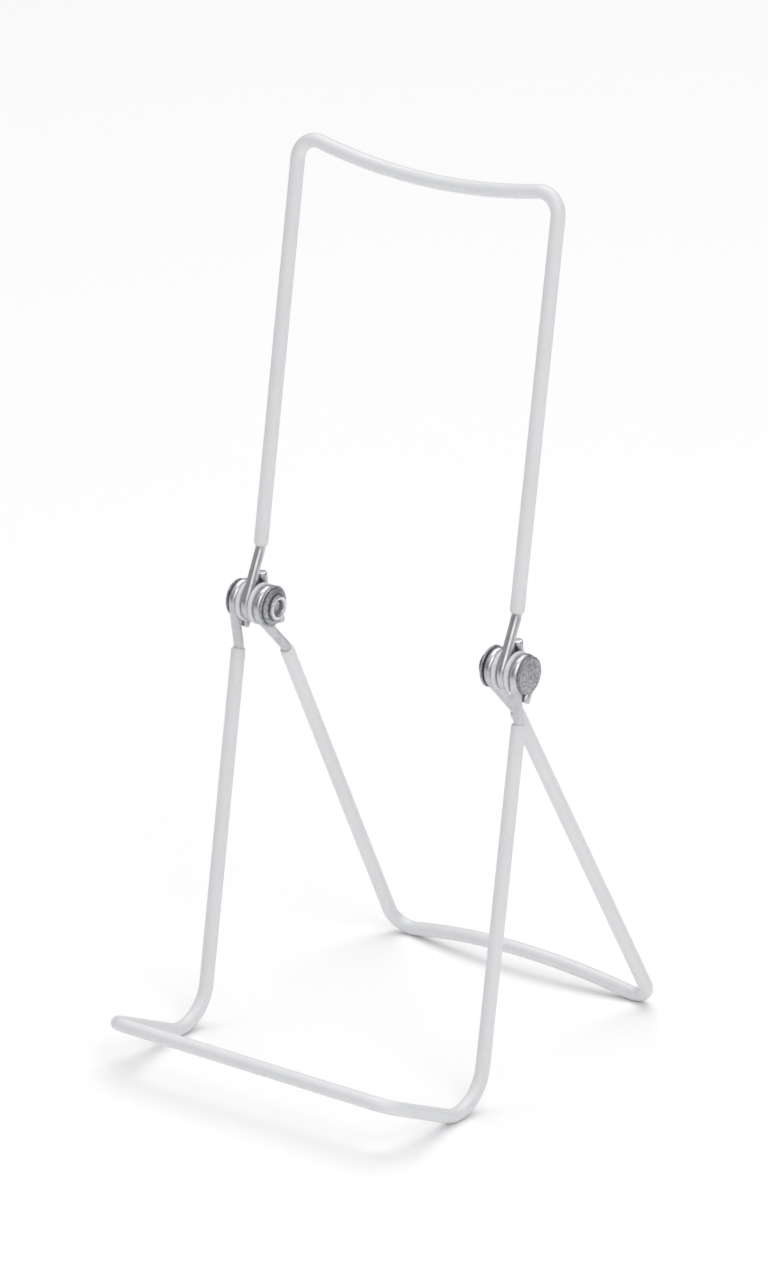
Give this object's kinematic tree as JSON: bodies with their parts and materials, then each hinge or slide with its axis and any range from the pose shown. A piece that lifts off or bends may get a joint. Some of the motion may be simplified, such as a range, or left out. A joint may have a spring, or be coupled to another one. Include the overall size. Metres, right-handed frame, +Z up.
{
  "type": "folding wire display stand",
  "caption": "Folding three-loop wire stand with vinyl-coated legs, a forward ledge and riveted friction hinges, for standing up a photo album, book or plate.",
  "frame": {"origin": "middle of the footprint, on the table", "axes": "+X to the stand's own left-to-right as seen from the front, along the hinge axis; +Y to the back; +Z up"},
  "size_m": [0.085, 0.112, 0.214],
  "materials": {
    "white_vinyl": "smooth dipped vinyl, softly glossy",
    "bright_wire": "drawn and bright plated",
    "plated_steel": "bright zinc plate",
    "white_nylon": "moulded, satin"
  },
  "bodies": {
    "front_ledge": {"front_ledge_wire": "bright_wire", "front_ledge_vinyl_coat": "white_vinyl", "rivet_left": "plated_steel", "nylon_washer_outer_left": "white_nylon", "nylon_washer_inner_left": "white_nylon", "flat_washer_left": "plated_steel", "cup_spring_washer_left": "plated_steel", "rivet_right": "plated_steel", "nylon_washer_outer_right": "white_nylon", "nylon_washer_inner_right": "white_nylon", "flat_washer_right": "plated_steel", "cup_spring_washer_right": "plated_steel"},
    "backrest": {"backrest_wire": "bright_wire", "backrest_vinyl_coat": "white_vinyl"},
    "rear_leg": {"rear_leg_wire": "bright_wire", "rear_leg_vinyl_coat": "white_vinyl"}
  },
  "joints": [
    {"name": "backrest_tilt", "type": "hinge", "parent": "front_ledge", "child": "backrest", "pos_m": [0, -0.00316, 0.10291], "axis": [-1, 0, 0], "range_deg": [-157, 75]},
    {"name": "rear_leg_swing", "type": "hinge", "parent": "front_ledge", "child": "rear_leg", "pos_m": [0, -0.00316, 0.10291], "axis": [1, 0, 0], "range_deg": [-37, 57]}
  ]
}
